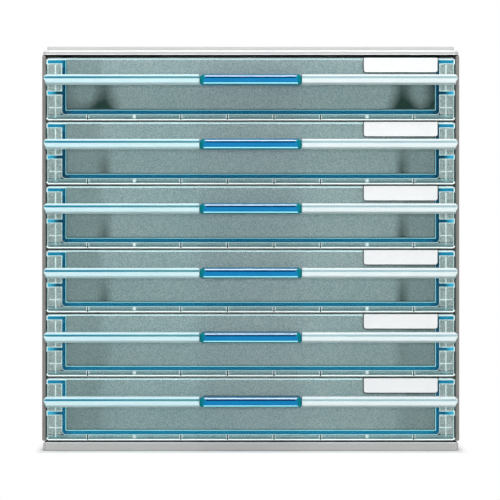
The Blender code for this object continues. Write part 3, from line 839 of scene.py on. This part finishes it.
def pane_mesh():
    """The pane with its label pocket and its textured fields, as a mesh at a drawer's corner."""
    outline = round_rectangle((-FRONT_X, FRONT_X), (0, FRONT_HEIGHT), FRONT_CORNER)
    stations = soft_stations(FRONT_FACE, FRONT_BACK, FRONT_EDGE)
    shape = solid(*stepped(outline, stations), FRONT_VIEW)
    pane = piece("pane_pattern", [shape], [PANE_CLEAR])
    pocket = label_outline(LABEL_SHADOW, FRONT_HEIGHT + CUTTER_PAST)
    side = TRAY_INSIDE - FIELD_MARGIN
    window = field((-side, side), (FLOOR[1] + FIELD_MARGIN, FIELD_TOP))
    # The pocket takes the dark edge finish: a painted shadow round the card.
    cutters = [
        piece("pocket_cutter", [cutter(pocket, FRONT_FACE - CUTTER_PAST, POCKET_FLOOR)], [EDGE_DARK]),
        piece("window_cutter", [window], [PANE_FROSTED]),
        piece("strip_cutter", strip_fields(), [STRIP_FROSTED]),
        piece("wing_cutter", wing_fields(), [WING_FROSTED]),
    ]
    for tool in cutters:
        cut = pane.modifiers.new(tool.name, "BOOLEAN")
        cut.operation = "DIFFERENCE"
        cut.solver = "EXACT"
        cut.material_mode = "TRANSFER"
        cut.object = tool
    graph = bpy.context.evaluated_depsgraph_get()
    mesh = bpy.data.meshes.new_from_object(pane.evaluated_get(graph))
    mesh.set_sharp_from_angle(angle=CRISP)
    for used in (pane, *cutters):
        bpy.data.objects.remove(used)
    return mesh


pattern = pane_mesh()
for body in drawers:
    mesh = pattern.copy()
    mesh.transform(Matrix.Translation(corners[body]))
    stands_for(shown(f"{body}_front", mesh), body, f"{body}_tray")
print("front panes:", len(drawers), "with", len(pattern.polygons), "faces each")

# %% [markdown]
# Behind the pane the tray is a channel: a floor and two walls, with a flange along the top of each wall
# and another halfway that runs in the casing. Its front end shows through the pane as the blue outline
# that marks these drawers. Where the inner faces meet the pane a small fillet lets light in and shows as a
# bright line just inside the blue. One helper puts the same piece into all six drawers.

# %% Tray channel
TRAY_CORNERS = (0.5 * MM, 2.2 * MM)
FLANGE_X = FRONT_X - 0.7 * MM
TRAY_FRONT = FRONT_BACK + 0.05 * MM
TRAY_REAR = tray_high[1]
REAR_EDGE = 0.25 * MM
REAR_WALL = (335.3 * MM, 337.5 * MM)
REAR_ROUND = 0.4 * MM
REAR_TOP = 30.5 * MM
RUNNER_END = 5.0 * MM
RUNNER_SWELL = 0.25 * MM
STOP_X = (130.8 * MM, 138.7 * MM)
STOP_Y = (330.0 * MM, 337.5 * MM)
STOP_HEIGHT = 2.0 * MM
FILLET = 0.6 * MM
THIN_FILLET = 0.32 * MM
FLANGE_FILLET = 0.55 * MM
SEAM = 0.02 * MM
GLOW, HALO = 3, 4


def channel_outline(swell):
    """The tray's section: round the right half from below, over the flanges and down inside.

    The runner flange is thicker by the swell, above and below.
    """
    small, large = TRAY_CORNERS
    low, high = RUNNER_FLANGE[0] - swell, RUNNER_FLANGE[1] + swell
    right = np.concatenate([
        arc((TRAY_X - large, FLOOR[0] + large), large, -90, 0),
        [
            [TRAY_X, low],
            [FLANGE_X, low],
            [FLANGE_X, high],
            [TRAY_X, high],
            [TRAY_X, TOP_FLANGE[0]],
            [FLANGE_X, TOP_FLANGE[0]],
            [FLANGE_X, TRAY_TOP],
            [TRAY_INSIDE, TRAY_TOP],
        ],
        arc((TRAY_INSIDE - small, FLOOR[1] + small), small, 0, -90),
    ])
    return both_halves(right)


def channel_shape():
    """The channel with its fillet: wide along the inner faces, a thin line outside.

    Its runner flanges start thick, clear of the casing's runners, and then thin down to run in them.
    """
    thick, outline = channel_outline(RUNNER_SWELL), channel_outline(0.0)
    inside = (abs(outline[:, 0]) < TRAY_INSIDE + SEAM) & (outline[:, 1] > FLOOR[1] - SEAM)
    flange = (abs(outline[:, 0]) > TRAY_X - SEAM) & (outline[:, 1] > RUNNER_FLANGE[0] - FILLET)
    reach = np.select([inside, flange], [FILLET, FLANGE_FILLET], THIN_FILLET)
    stations = [
        (TRAY_FRONT, thick),
        (TRAY_FRONT, drawn_in(thick, -reach)),
        (TRAY_FRONT + FILLET, thick),
        (RUNNER_END, thick),
        (RUNNER_END + RUNNER_SWELL, outline),
        (TRAY_REAR - REAR_EDGE, outline),
        (TRAY_REAR, drawn_in(outline, REAR_EDGE)),
    ]
    fillet = np.where(inside & np.roll(inside, -1), GLOW, HALO)
    bands = [fillet, fillet, *[np.full_like(fillet, SKIN)] * 4]
    places, rings = zip(*stations)
    return solid(rings, places, FRONT_VIEW, bands)


def tray_shapes():
    """The channel, its rear wall and the two stop blocks on its runner flanges."""
    width = TRAY_INSIDE - SEAM
    rear = bar((-width, width), REAR_WALL, (FLOOR[1] + SEAM, REAR_TOP), REAR_ROUND, SKIN)
    z = (RUNNER_FLANGE[1] + SEAM, RUNNER_FLANGE[1] + STOP_HEIGHT)
    stops = [bar(x, STOP_Y, z, group=SKIN) for x in (STOP_X, (-STOP_X[1], -STOP_X[0]))]
    return [channel_shape(), rear, *stops]


def in_each_drawer(part, solids, finishes, node="tray"):
    """The same piece in every drawer, where it stands for one of that drawer's nodes."""
    for body in drawers:
        made = piece(f"{body}_{part}", solids, finishes, corners[body])
        stands_for(made, body, f"{body}_{node}")
    print(f"{part}: {len(drawers)} pieces with {len(made.data.polygons)} faces each")


in_each_drawer("channel", tray_shapes(), [TRAY_CLEAR, EDGE_BLUE, EDGE_BLUE, EDGE_GLOW, EDGE_PALE])

# %% [markdown]
# A rim runs round the back of the pane and stiffens it, thicker at the top and thin at the sides. Below and
# at the sides a thin lip closes part of the gap. The lower lip's front is lit like the rim's, the rest of it
# lies in the gap's shadow, which is painted dark on it. Short gussets carry the floor on the rim, and a
# cross of thin ribs fills each wing. End-on these short ribs look pale, not blue. Most gussets have a dark
# core, and the second from each end is solid.

# %% Rim and ribs
RIM_WALL = (0.95 * MM, 2.1 * MM)
RIM_LINE = (0.95 * MM, 1.0 * MM)
SIDE_WALL = 1.3 * MM
SIDE_LINE = 0.45 * MM
RIM_LIP = 0.35 * MM
RIM_SOFT = 0.3 * MM
RIM_FRONT = TRAY_FRONT + SEAM
RIM_REAR = 6.0 * MM
RIB_REAR = 5.2 * MM
CORE = 0.9 * MM
CORE_LOW = 0.3 * MM
CORE_REAR = 5.0 * MM
CORE_EDGE = 0.05 * MM
SOLID_GUSSETS = (1, 6)
TOP_LINE, LOW_LINE, PALE, DARK = range(1, 5)


def rim_shape():
    """The rim: a small section carried round the pane's outline, closed both ways.

    The wall and its flat front, the visible line, grow evenly from the lower edge to the upper one.
    The sides have sizes of their own. The lip moves the outer face out by a little.
    """
    outline = round_rectangle((-FRONT_X, FRONT_X), (0, FRONT_HEIGHT), FRONT_CORNER)
    height = outline[:, 1]
    side = abs(outline[:, 0]) > FRONT_X - SEAM
    wall = np.where(side, SIDE_WALL, np.interp(height, (0, FRONT_HEIGHT), RIM_WALL))
    line = np.where(side, SIDE_LINE, np.interp(height, (0, FRONT_HEIGHT), RIM_LINE))
    outer = np.where(side | (height < FRONT_CORNER + SEAM), -RIM_LIP, 0.0)
    stations = [
        (RIM_FRONT, wall - RIM_SOFT - line),
        (RIM_FRONT, wall - RIM_SOFT),
        (RIM_FRONT + RIM_SOFT, wall),
        (RIM_REAR - RIM_SOFT, wall),
        (RIM_REAR, wall - RIM_SOFT),
        (RIM_REAR, outer + RIM_SOFT),
        (RIM_REAR - RIM_SOFT, outer),
        (RIM_FRONT + RIM_SOFT, outer),
    ]
    low = height + np.roll(height, -1) < FRONT_HEIGHT / 2
    bands = np.full((len(stations), len(outline)), SKIN)
    bands[0] = np.where(low, LOW_LINE, TOP_LINE)
    bands[-3:] = np.where(low | (side & np.roll(side, -1)), DARK, SKIN)
    return solid(*stepped(outline, stations), FRONT_VIEW, bands, closed=True)


def gusset_shapes():
    """The gussets between rim and floor, most of them with a dark core that shows in front."""
    z = (RIM_WALL[0] + SEAM, FLOOR[0] - THIN_FILLET - SEAM)
    shapes = [bar((x - GUSSET / 2, x + GUSSET / 2), (RIM_FRONT, RIB_REAR), z, group=PALE) for x in GUSSETS]
    cored = np.delete(GUSSETS, SOLID_GUSSETS)
    y, z = (TRAY_FRONT, CORE_REAR), (CORE_LOW, z[1])
    return shapes + [bar((x - CORE / 2, x + CORE / 2), y, z, CORE_EDGE, DARK) for x in cored]


def wing_ribs():
    """The wings' ribs: an upright one below and above the runner flange, and a level one across it."""
    upright = (UPRIGHT_RIB - RIB / 2, UPRIGHT_RIB + RIB / 2)
    level = (LEVEL_RIB - RIB / 2, LEVEL_RIB + RIB / 2)
    away = RUNNER_SWELL + FLANGE_FILLET + SEAM
    spans = [
        (upright, (RIM_WALL[0] + SEAM, RUNNER_FLANGE[0] - away)),
        (upright, (RUNNER_FLANGE[1] + away, TOP_FLANGE[0] - away)),
        ((TRAY_X + THIN_FILLET + SEAM, upright[0] - SEAM), level),
        ((upright[1] + SEAM, FRONT_X - SIDE_WALL - SEAM), level),
    ]
    spans += [((-x[1], -x[0]), z) for x, z in spans]
    return [bar(x, (RIM_FRONT, RIB_REAR), z, group=PALE) for x, z in spans]


rib_shapes = [rim_shape(), *gusset_shapes(), *wing_ribs()]
in_each_drawer("ribs", rib_shapes, [TRAY_CLEAR, EDGE_PALE, EDGE_WHITE, RIB_PALE, EDGE_DARK])

# %% [markdown]
# Light collects in the thick nose of the pull ledge, so it looks almost white, with a thin line in the
# groove along its face: teal on the left, deepest at the outer end, and paler on the right. These colours
# are painted light, and the two halves are painted as lit differently. Some lamp light passes the clear
# ledge and keeps its shadow on the pane soft.

# %% Ledge plastic
LEDGE_TINT = (0.38, 0.44, 0.44)
LEFT_TO_RIGHT = (-25 * MM, 25 * MM)
TIP_X = (-60 * MM, -120 * MM)
TIP_SHARE = 0.7


def ledge_plastic(name, left, right, bend=1.2, tip=None):
    """Pale plastic in painted light: one pair of colours on the left of the drawer and another on the right.

    Tip is the deeper colour of painted light that it takes on towards the left end, where there is one.
    """
    material, shader, place = new_finish(name, Metallic=0.0, IOR=bend)
    across = axis(place, 0)
    drift = noise(place, 60.0, 3.0)
    fine = noise(place, EDGE_GRAIN)
    tone = (drift * 0.7 + fine * 0.3).clamped()
    colour = blend(ramp(across, *LEFT_TO_RIGHT), blend(tone, *left), blend(tone, *right))
    if tip:
        colour = blend(ramp(across, *TIP_X) * TIP_SHARE, colour, tip)
    feed(shader, "Base Color", colour)
    feed(shader, "Roughness", (0.2 + fine * 0.15).clamped())
    let_lamps_through(material, shader, LEDGE_TINT)
    return material


LEDGE_PALE = ledge_plastic(
    "ledge_pale", ((0.53, 0.77, 0.82), (0.69, 0.89, 0.92)), ((0.70, 0.82, 0.84), (0.83, 0.90, 0.91))
)
LEDGE_LINE = ledge_plastic(
    "ledge_line",
    ((0.09, 0.33, 0.38), (0.16, 0.46, 0.51)),
    ((0.37, 0.54, 0.58), (0.57, 0.74, 0.78)),
    bend=1.05,
    tip=(0.0, 0.28, 0.46),
)
# The step's grey is painted shade under the nose.
LEDGE_STEP_SHADE = ledge_plastic(
    "ledge_step_shade",
    ((0.32, 0.42, 0.43), (0.42, 0.53, 0.54)),
    ((0.30, 0.38, 0.38), (0.42, 0.50, 0.50)),
    bend=1.05,
)
print("ledge finishes ready")

# %% [markdown]
# The pull ledge is a plate with a turned-down lip, one half on each side of the grip. Both outer ends are
# pointed: the section is squeezed towards the groove there. A step hangs below the nose, further back, where
# the fingers take hold; its grey is painted shade under the nose.

# %% Pull ledge
LEDGE_FACE = tray_low[1]
LEDGE_END = tray_high[0]
LEDGE_START = grip_high[0] + 0.3 * MM
LEDGE_REAR = FRONT_FACE - 0.03 * MM
LEDGE_Z = (24.35 * MM, 30.2 * MM)
LEDGE_LIP = 2.6 * MM
LEDGE_PLATE = 2.0 * MM
LEDGE_ROUND = 0.9 * MM
LEDGE_POINT = 1.4 * MM
LEDGE_SQUEEZE = 0.3
GROOVE = (27.4 * MM, 28.85 * MM)
GROOVE_DEPTH = 0.6 * MM
GROOVE_SLOPE = 0.1 * MM
HOLD = 1.3 * MM
HOLD_DROP = 1.2 * MM
LINE, GREY = 3, 4


def ledge_outline():
    """The ledge's section in y and z: the plate, the nose with its groove, the step below and the lip."""
    low, top = LEDGE_Z
    nose = LEDGE_FACE + LEDGE_ROUND
    floor = LEDGE_FACE + GROOVE_DEPTH
    return np.concatenate([
        [[LEDGE_REAR, top - LEDGE_PLATE], [LEDGE_REAR, top]],
        arc((nose, top - LEDGE_ROUND), LEDGE_ROUND, 90, 180),
        [
            [LEDGE_FACE, GROOVE[1]],
            [floor, GROOVE[1] - GROOVE_SLOPE],
            [floor, GROOVE[0] + GROOVE_SLOPE],
            [LEDGE_FACE, GROOVE[0]],
        ],
        arc((nose, low + LEDGE_ROUND), LEDGE_ROUND, 180, 270),
        [
            [LEDGE_FACE + HOLD, low],
            [LEDGE_FACE + HOLD, low - HOLD_DROP],
            [LEDGE_FACE + LEDGE_LIP, low - HOLD_DROP],
            [LEDGE_FACE + LEDGE_LIP, top - LEDGE_PLATE],
        ],
    ])


def ledge_shape(side):
    """One half of the ledge: its section at stations along x, squeezed towards the groove at the end."""
    outline = ledge_outline()
    middle = np.array([0, sum(GROOVE) / 2])
    rings = [middle + (outline - middle) * [1, squeeze] for squeeze in (1.0, 1.0, LEDGE_SQUEEZE)]
    places = side * np.array([LEDGE_START, LEDGE_END - LEDGE_POINT, LEDGE_END])
    deep, behind = (outline[:, 0] == LEDGE_FACE + depth for depth in (GROOVE_DEPTH, HOLD))
    in_groove, in_step = deep | np.roll(deep, -1), behind & np.roll(behind, -1)
    bands = np.select([in_groove, in_step], [LINE, GREY], SKIN)
    return solid(rings, places, SIDE_VIEW, [bands, bands])


ledge_halves = [ledge_shape(-1), ledge_shape(1)]
in_each_drawer("ledge", ledge_halves, [LEDGE_PALE] * 3 + [LEDGE_LINE, LEDGE_STEP_SHADE])

# %% [markdown]
# The finger grip is a solid blue bar pushed on in the middle. A polished bevel along its top mirrors the
# lamp overhead. Its other facets have painted light and shade: a dark line below that bevel and a dim brow
# above it, a cyan bevel below that glows a little, and teal end facets. The colours belong to the facets, so
# each band of faces between two stations gets its own finish.

# %% Grip
GRIP_CORNER = 1.8 * MM
GRIP_SHOULDER = (2.2 * MM, 2.0 * MM)
GRIP_LIFT = 0.2 * MM
GRIP_EDGE = (0.75 * MM, 0.65 * MM)
GRIP_BEVEL = (1.3 * MM, 0.7 * MM)
GRIP_SHADOW = (0.85 * MM, 0.1 * MM)
STEEP = (1.2 * MM, 1.425 * MM)
STEEP_INSET = 0.05 * MM
GRIP_REAR_EDGE = 0.2 * MM
GRIP_SLOPE = 1.2 * MM
SLOPE_SHARES = (1.0, 1.0, 0.45, 0.0, 0.0, 0.0, 0.0)
NAVY, SHINE, CYAN, TEAL, BROW = range(3, 8)
# The navy, cyan, teal and brow finishes are painted light and shade; the blue is the grip's own colour.
GRIP_BLUE = edge_plastic("grip_blue", (0.0, 0.16, 0.40), (0.006, 0.25, 0.54), rough=0.2, bend=1.2)
GRIP_NAVY = edge_plastic("grip_navy", (0.0, 0.02, 0.08), (0.0, 0.04, 0.13), rough=0.2, bend=1.02)
GRIP_SHINE = edge_plastic("grip_shine", (0.02, 0.14, 0.30), (0.04, 0.20, 0.40), rough=0.07, bend=1.75)
GRIP_CYAN = edge_plastic("grip_cyan", (0.34, 0.90, 0.97), (0.50, 0.98, 1.0), rough=0.2, glow=0.3)
GRIP_TEAL = edge_plastic("grip_teal", (0.0, 0.15, 0.18), (0.008, 0.25, 0.29), rough=0.2)
GRIP_BROW = edge_plastic("grip_brow", (0.06, 0.20, 0.30), (0.12, 0.28, 0.40), rough=0.2, bend=1.02)
GRIP_FINISHES = [GRIP_BLUE] * 3 + [GRIP_NAVY, GRIP_SHINE, GRIP_CYAN, GRIP_TEAL, GRIP_BROW]


def grip_shape():
    """The grip's front outline, carried back from its face over a flat bevel and a steep edge.

    Along the top the bevel is tall and leans back by half the lamp's height, elsewhere it is shorter, so
    the sizes come in pairs. Both ends slope as well: the first stations are squeezed along x.
    """
    wide, tall = GRIP_SHOULDER
    right, low, top = grip_high[0], grip_low[2] + GRIP_LIFT, grip_high[2]
    outline = both_halves(np.concatenate([
        arc((right - GRIP_CORNER, low + GRIP_CORNER), GRIP_CORNER, -90, 0, 4),
        [[right, top - tall], [right - wide, top]],
    ]))
    upper = outline[:, 1] > top - tall - SEAM
    face, rear = grip_low[1], grip_high[1]
    depth = GRIP_BEVEL[0] * BEVEL_LEAN
    rim = np.where(upper, *GRIP_EDGE)
    inset = rim + np.where(upper, *GRIP_BEVEL)
    stations = [
        (face, inset + np.where(upper, *GRIP_SHADOW)),
        (face, inset),
        (face + depth, rim),
        (face + depth + STEEP[0], STEEP_INSET),
        (face + depth + STEEP[1], 0.0),
        (rear - GRIP_REAR_EDGE, 0.0),
        (rear, GRIP_REAR_EDGE),
    ]
    level = abs(outline[:, 1] - np.roll(outline[:, 1], -1)) < SEAM
    along_top, along_bottom = level & upper, level & ~upper
    shadow = np.where(along_top, NAVY, SKIN)
    bevel = np.select([along_top, along_bottom], [SHINE, CYAN], TEAL)
    edge = np.where(along_top, BROW, TEAL)
    bands = [shadow, bevel, edge, shadow, shadow, shadow]
    rings, places = stepped(outline, stations)
    rings = [ring * [1 - share * GRIP_SLOPE / right, 1] for ring, share in zip(rings, SLOPE_SHARES)]
    return solid(rings, places, FRONT_VIEW, bands)


in_each_drawer("grip_bar", [grip_shape()], GRIP_FINISHES, "grip")

# %% [markdown]
# The label is a small uncoated card. It drops into its pocket from above and sits a hair below the pane's
# face. Its fibres show as a faint mottle and a soft tooth, so colour and bump follow two sizes of noise.

# %% Label
CARD_EDGE = 0.1 * MM


def label_card():
    """White card: two sizes of fibre noise in colour and bump."""
    material, shader, place = new_finish("label_card", Metallic=0.0, IOR=1.45)
    fibres = noise(place, 900.0, 4.0, 0.7)
    clouds = noise(place, 60.0, 2.0)
    tone = (fibres * 0.6 + clouds * 0.4).clamped()
    feed(shader, "Base Color", blend(tone, (0.845, 0.845, 0.855), (0.925, 0.925, 0.925)))
    feed(shader, "Roughness", 0.75 + fibres * 0.2)
    feed(shader, "Normal", bump(fibres, 0.2, 0.05 * MM))
    return material


card_stations = soft_stations(label_low[1], label_high[1], CARD_EDGE, 2)
card_outline = label_outline(0.0, label_high[2] - LABEL_DROP)
card_shape = solid(*stepped(card_outline, card_stations), FRONT_VIEW)
in_each_drawer("card", [card_shape], [label_card()], "label")

# %% [markdown]
# The world is white where the camera looks past the object, and where it looks past it by way of a mirror
# or through clear plastic, but not for light that has already met a dull surface: that would pour white
# light into the drawers. The floor keeps the object's shadow close to it and turns plain white further out.

# %% Floor and background
AMBIENT = 0.12
SHADOW_REACH = 7 * MM
FLOOR_SIZE = 12.0
FLOOR_DROP = 0.2 * MM


def seen_past(tree):
    """1 for a ray that goes past the object: from the camera, or on by a mirror or clear plastic alone."""
    path = tree.nodes.new("ShaderNodeLightPath")
    camera_ray, glossy, through, dull = (
        Wire(tree, path.outputs[name])
        for name in ("Is Camera Ray", "Is Glossy Ray", "Is Transmission Ray", "Diffuse Depth")
    )
    return camera_ray.maths("MAXIMUM", glossy.maths("MAXIMUM", through) * (1.0 - dull.clamped()))


def white_world():
    """White for what is seen past the object, and a plain ambient light on the object itself."""
    world = bpy.data.worlds.new("studio")
    bpy.context.scene.world = world
    world.use_nodes = True
    tree = world.node_tree
    background = tree.nodes["Background"]
    background.inputs["Color"].default_value = (1, 1, 1, 1)
    strength = AMBIENT + seen_past(tree) * (1.0 - AMBIENT)
    tree.links.new(strength.socket, background.inputs["Strength"])


def floor_white():
    """Pale grain near the object. The distance beyond the object's box gives the share of plain white."""
    material, shader, place = new_finish("floor_white", Metallic=0.0)
    grain = noise(place, 300.0, 2.0)
    feed(shader, "Base Color", blend(grain, (0.90, 0.90, 0.90), (0.94, 0.94, 0.94)))
    feed(shader, "Roughness", 0.85 + grain * 0.1)
    middle, half = (cad_high + cad_low) / 2, (cad_high - cad_low) / 2
    x, y = ((abs(axis(place, n) - middle[n]) - half[n]).maths("MAXIMUM", 0.0) for n in (0, 1))
    distance = (x * x + y * y).maths("SQRT")
    tree = material.node_tree
    glow = tree.nodes.new("ShaderNodeEmission")
    kept = ramp(distance, SHADOW_REACH, 0.0)
    outside = (1.0 - kept * kept) * seen_past(tree)
    mixed(material, outside.socket, shader, glow)
    return material


white_world()
floor_mesh = bpy.data.meshes.new("floor")
floor_plan = np.array([[-1, -1, 0], [1, -1, 0], [1, 1, 0], [-1, 1, 0]]) * FLOOR_SIZE
floor_mesh.from_pydata(floor_plan - [0, 0, FLOOR_DROP], [], [[0, 1, 2, 3]])
floor_mesh.materials.append(floor_white())
shown("floor", floor_mesh)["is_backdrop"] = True
print("white world and floor ready")

# %% [markdown]
# Four soft lamps. The large one stands behind the camera, a little above it, and lights the fronts and the
# insides of the drawers. It is hidden from mirrors, so the panes stay clear. The small one hangs over the
# front: it draws the white lines on the bevels and a soft shade below the ledges. Two weak ones behind the
# box light its sides and its back. All are hidden from rays that pass through clear plastic, because
# their light already gets through it once.


# %% Lamps
def lamp(name, place, target, size, power):
    """A soft rectangular lamp aimed at a point."""
    data = bpy.data.lights.new(name, "AREA")
    data.shape = "RECTANGLE"
    data.size, data.size_y = size
    data.energy = power
    made = shown(name, data)
    made.location = place
    made.rotation_euler = Vector(np.subtract(target, place)).to_track_quat("-Z", "Y").to_euler()
    made.visible_transmission = False
    return made


ceiling = lamp("ceiling", place=(0, -0.7, 1.5), target=(0, -0.1, 0.12), size=(0.9, 0.52), power=16.0)
front_light = lamp("front_light", place=(0, -2.6, 0.27), target=(0, 0, 0.14), size=(1.8, 0.8), power=31.0)
front_light.visible_glossy = False
for side in (-1, 1):
    corner = (1.3 * side, 1.5, 0.8)
    lamp(f"rear_light_{side}", place=corner, target=(0, 0.1, 0.13), size=(0.9, 0.9), power=8.0)
print("lamps:", ceiling.data.energy, "and", front_light.data.energy, "W, and two weak ones behind")

# %% [markdown]
# Light passes many clear faces before it leaves a stack of drawers, so the bounce limits go up.

# %% View and bounces
scene = bpy.context.scene
scene.view_settings.view_transform = "Standard"
scene.cycles.transparent_max_bounces = 24
scene.cycles.max_bounces = 20
scene.cycles.transmission_bounces = 16
